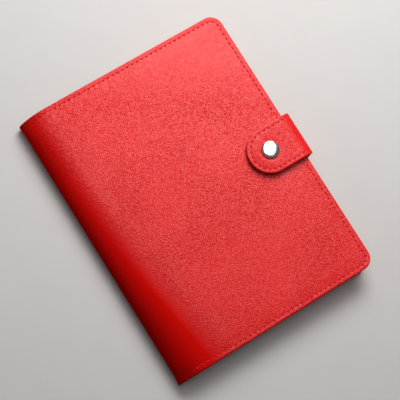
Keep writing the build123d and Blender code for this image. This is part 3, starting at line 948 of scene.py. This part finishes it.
def make_leaves():
    """Notebook's leaves, one thin slab for every other leaf, pinched under the sleeves."""
    count = 46
    # Half of a slab's thickness, as a share of the pitch between slabs
    half_slab = 0.42
    corner = 5 * MM
    pinch_end = SLEEVE_X - 1.0 * MM
    pinch_start = pinch_end - 8 * MM
    pinched_low = SLEEVE_TOP + 0.2 * MM
    pinched_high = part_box("card_slot_head")[0].z - 0.2 * MM
    arc = LEAF_HIGH.x - corner + corner * np.sin(np.linspace(0, math.pi / 2, 7))
    stations = np.concatenate([[LEAF_LOW.x], np.linspace(pinch_start, pinch_end, 7), arc])
    verts, faces = [], []
    for leaf in range(count):
        share = (leaf + 0.5) / count
        jitter = 0.22 * MM * noise.noise(Vector((leaf * 1.7, 0.3, 0.9)))
        trim = 0.16 * MM * noise.noise(Vector((leaf * 2.3, 4.1, 0.2)))
        base = len(verts)
        for x in stations:
            pinch = float(smoothstep(pinch_start, pinch_end, x))
            low = LEAF_LOW.z + (pinched_low - LEAF_LOW.z) * pinch
            high = LEAF_HIGH.z + (pinched_high - LEAF_HIGH.z) * pinch
            pitch = (high - low) / count
            z = low + (high - low) * share
            into = max(x - (LEAF_HIGH.x - corner), 0)
            half = LEAF_HIGH.y - corner + math.sqrt(max(corner**2 - into**2, 0)) + trim
            place_x = x + jitter if x > pinch_end else x
            lift = half_slab * pitch
            for y, level in ((-half, z - lift), (half, z - lift), (half, z + lift), (-half, z + lift)):
                verts.append((place_x, y, level))
        last = len(stations) - 1
        for k in range(last):
            for a in range(4):
                p, q = base + 4 * k + a, base + 4 * k + (a + 1) % 4
                faces.append((p, q, q + 4, p + 4))
        faces.append(tuple(base + a for a in (3, 2, 1, 0)))
        faces.append(tuple(base + 4 * last + a for a in (0, 1, 2, 3)))
    obj = new_object("leaves", verts, faces, PAPER, 30)
    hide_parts("page_block")
    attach(obj, "back_cover")


for cover_side in ("back", "front"):
    make_notebook_board(cover_side)
    make_case_back(cover_side)
    repaint(f"{cover_side}_stiffener", GREY_BOARD)
make_leaves()


# ---------------------------------------------------------------- strap


def strap_lower_section():
    """Strap's outer line from its sewn-in tail to half way up the fore-edge."""
    centre_x, centre_z = STRAP_X - STRAP_BEND, STRAP_ROOT + STRAP_BEND
    points = [(TAIL_X, STRAP_ROOT), (FORE_X - 0.5 * MM, STRAP_ROOT)]
    points += ellipse_arc(centre_x, centre_z, STRAP_BEND, STRAP_BEND, -88, 0)
    points.append((STRAP_X, (STRAP_ROOT + STRAP_TOP) / 2))
    return Section(points)


def strap_upper_section():
    """Strap's outer line from half way up the fore-edge to the tip of its tab."""
    centre_x, centre_z = STRAP_X - STRAP_SOFT, STRAP_TOP - STRAP_FALL
    points = [(STRAP_X, (STRAP_ROOT + STRAP_TOP) / 2)]
    points += ellipse_arc(centre_x, centre_z, STRAP_SOFT, STRAP_FALL, 0, 90)
    points.append((SNAP_X - STRAP_HALF, STRAP_TOP))
    return Section(points)


def round_tip(s, y, length, half):
    """Moves a grid's points so that its far end becomes a half circle."""
    a = np.clip((s - (length - half)) / half, 0, 1)
    b = y / half
    new_s = np.where(a > 0, length - half + half * a * np.sqrt(1 - b * b / 2), s)
    new_y = np.where(a > 0, half * b * np.sqrt(1 - a * a / 2), y)
    return new_s, new_y


def tip_distance(s, y, length, half):
    """Distance in from the edge of the strap, round its tip."""
    beyond = s - (length - half)
    return np.where(beyond > 0, half - np.hypot(np.maximum(beyond, 0), y), half - np.abs(y))


def make_strap_upper():
    """Upper half of the strap in two layers, with the seam round its tab."""
    section = strap_upper_section()
    length = section.length
    side = STRAP_HALF - STRAP_SEAM_INSET
    tip_s = length - STRAP_HALF
    points = [(1.0 * MM, side), (tip_s, side)]
    points += ellipse_arc(tip_s, 0, side, side, 90, -90, 60)[1:]
    points.append((1.0 * MM, -side))
    seam = Seam(points)

    def droop(s, y):
        from_snap = np.hypot(s - tip_s, y)
        towards_tip = smoothstep(-4 * MM, 16 * MM, s - tip_s)
        rim = smoothstep(7 * MM, STRAP_HALF, from_snap)
        dish = -0.28 * MM * np.exp(-((from_snap - CAP_RADIUS) / (2.2 * MM)) ** 2)
        return -1.2 * MM * towards_tip * rim + dish * (from_snap < 3 * CAP_RADIUS)

    def surface(s, y):
        height = edge_roll(tip_distance(s, y, length, STRAP_HALF), 0.7 * MM, 0.30 * MM)
        height = height + seam_relief(s, y, seam, 0.12 * MM, 0.7 * MM)
        height = height + 0.07 * MM * soft_noise(s, y, 9 * MM, 21.3)
        height = height + droop(s, y)
        return raised(section.at(s), y, height)

    s, y = np.meshgrid(
        np.linspace(0, length, 120), np.linspace(-STRAP_HALF, STRAP_HALF, 76), indexing="ij"
    )
    s, y = round_tip(s, y, length, STRAP_HALF)
    sag = droop(s, y)
    joint = sag - STRAP_OUTER
    roll = edge_roll(tip_distance(s, y, length, STRAP_HALF), 0.6 * MM, 0.25 * MM)
    heights = (joint, joint - STRAP_GAP, joint - STRAP_INNER - roll)
    outer = surface(s, y)[0]
    join, joined, low = (raised(section.at(s), y, height)[0] for height in heights)
    places = np.stack([s + 0.7, y, np.full_like(s, 3.1)], axis=-1)
    top = shell("strap_flap_hide", outer, join, TAB_LEATHER, places)
    bottom = shell("strap_flap_lining_skin", joined, low, SMOOTH_LEATHER, places)
    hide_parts("strap_flap_leather")
    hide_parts("strap_flap_lining")
    for piece in (top, bottom):
        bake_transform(piece)
    return seam, surface


def make_strap_lower():
    """Lower half of the strap in two layers, from its skived tail up the fore-edge."""
    section = strap_lower_section()
    length = section.length
    s, y = np.meshgrid(
        np.linspace(0, length, 90), np.linspace(-STRAP_HALF, STRAP_HALF, 76), indexing="ij"
    )
    line = section.at(s)
    skive = smoothstep(FORE_X - 0.6 * MM, FORE_X + 3.2 * MM, line[0])
    thin_outer, thin_inner = 0.42 * MM, 0.34 * MM
    joint = -(thin_outer + (STRAP_OUTER - thin_outer) * skive)
    inner_thickness = thin_inner + (STRAP_INNER - thin_inner) * skive
    distance = STRAP_HALF - np.abs(y)
    top_roll = edge_roll(distance, 0.7 * MM, 0.30 * MM) * skive
    low_roll = edge_roll(distance, 0.6 * MM, 0.25 * MM) * skive
    heights = (top_roll, joint, joint - STRAP_GAP, joint - inner_thickness - low_roll)
    outer, join, joined, low = (raised(line, y, height)[0] for height in heights)
    places = np.stack([s + 0.7 - length, y, np.full_like(s, 3.1)], axis=-1)
    top = shell("strap_wall_hide", outer, join, TAB_LEATHER, places)
    bottom = shell("strap_wall_lining_skin", joined, low, SMOOTH_LEATHER, places)
    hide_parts("strap_wall_leather", "strap_anchor")
    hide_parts("strap_wall_lining")
    for piece in (top, bottom):
        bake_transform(piece)


strap_seam, strap_surface = make_strap_upper()
make_strap_lower()
tab_start = strap_upper_section().length - STRAP_HALF - (STRAP_X - STRAP_FALL - SNAP_X)
tab_side = STRAP_HALF - STRAP_SEAM_INSET
tab_points = [p for p in strap_seam.points if p[0] >= tab_start]
tab_seam = Seam([(tab_start, tab_side), *tab_points, (tab_start, -tab_side)])
stitch_meshes("strap", tab_seam, strap_surface, "strap_flap", "strap_stitching")


# ---------------------------------------------------------------- snap


def make_snap():
    """Polished cap, its socket and spring, and the stud with its rivet."""
    rim_z = STRAP_TOP + 0.45 * MM
    fullness = 0.8
    steps = 24
    dome = []
    for k in range(steps + 1):
        turn = math.pi / 2 * k / steps
        radius = max(CAP_RADIUS * math.sin(turn) ** fullness, 0.02 * MM)
        dome.append((radius, rim_z + (CAP_TOP - rim_z) * math.cos(turn) ** fullness))
    dome += [(CAP_RADIUS, STRAP_TOP + 0.2 * MM), (CAP_RADIUS - 0.25 * MM, STRAP_TOP - 0.25 * MM)]
    cap = lathe("snap_cap_dome", dome[::-1], SNAP_X, NICKEL)
    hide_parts("snap_cap")
    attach(cap, "strap_flap")
    for node in ("snap_socket", "snap_stud", "stud_rivet"):
        repaint(node, NICKEL)
    repaint("snap_spring", SPRING)


make_snap()


# ---------------------------------------------------------------- stage, light and camera


def make_floor():
    """Plain pale floor under the object."""
    graph = Graph("floor", (0.50, 0.48, 0.45), 0.8)
    share = graph.remap(object_noise(graph, 40.0, 3.0), 0.3, 0.7)
    colour = graph.mix(share, (0.49, 0.47, 0.445), (0.50, 0.48, 0.455))
    graph.feed(graph.shader.inputs["Base Color"], colour)
    size = 8.0
    level = -0.25 * MM
    verts = [(-size, -size, level), (size, -size, level), (size, size, level), (-size, size, level)]
    floor = new_object("floor", verts, [(0, 1, 2, 3)], graph.material)


def area_light(name, location, target, size, power, colour=(1, 1, 1)):
    """Soft square light aimed at a point."""
    data = bpy.data.lights.new(name, "AREA")
    data.shape = "RECTANGLE"
    data.size, data.size_y = size
    data.energy = power
    data.color = colour
    light = bpy.data.objects.new(name, data)
    bpy.context.scene.collection.objects.link(light)
    light.location = location
    aim = Vector(target) - Vector(location)
    light.rotation_euler = aim.to_track_quat("-Z", "Y").to_euler()


def make_camera():
    """Camera above the book, a little towards its spine and foot, turned as it lies."""
    target = Vector((-5.6 * MM, -4.9 * MM, THICKNESS))
    location = Vector((-0.2939, -0.1295, 1.1333))
    roll = math.radians(-32.25)
    forward = (target - location).normalized()
    right = forward.cross(Vector((0, 1, 0))).normalized()
    up = right.cross(forward)
    turned_right = right * math.cos(roll) + up * math.sin(roll)
    turned_up = up * math.cos(roll) - right * math.sin(roll)
    data = bpy.data.cameras.new("camera")
    data.sensor_width = 36
    data.lens = 144.0
    camera = bpy.data.objects.new("camera", data)
    bpy.context.scene.collection.objects.link(camera)
    axes = Matrix((turned_right, turned_up, -forward)).transposed()
    camera.matrix_world = Matrix.Translation(location) @ axes.to_4x4()
    bpy.context.scene.camera = camera


make_floor()
area_light("key", (0.30, 0.36, 0.54), (0.02, 0.05, 0), (0.42, 0.42), 5.9)
area_light("panel", (0.22, 0.31, 1.32), (0.02, 0.06, 0), (1.30, 1.42), 8.6, (1.0, 0.99, 1.05))
world = bpy.data.worlds.new("world")
world.use_nodes = True
background = world.node_tree.nodes["Background"]
background.inputs["Color"].default_value = (0.95, 0.97, 1.0, 1)
background.inputs["Strength"].default_value = 0.10
bpy.context.scene.world = world
bpy.context.scene.view_settings.view_transform = "Standard"
make_camera()
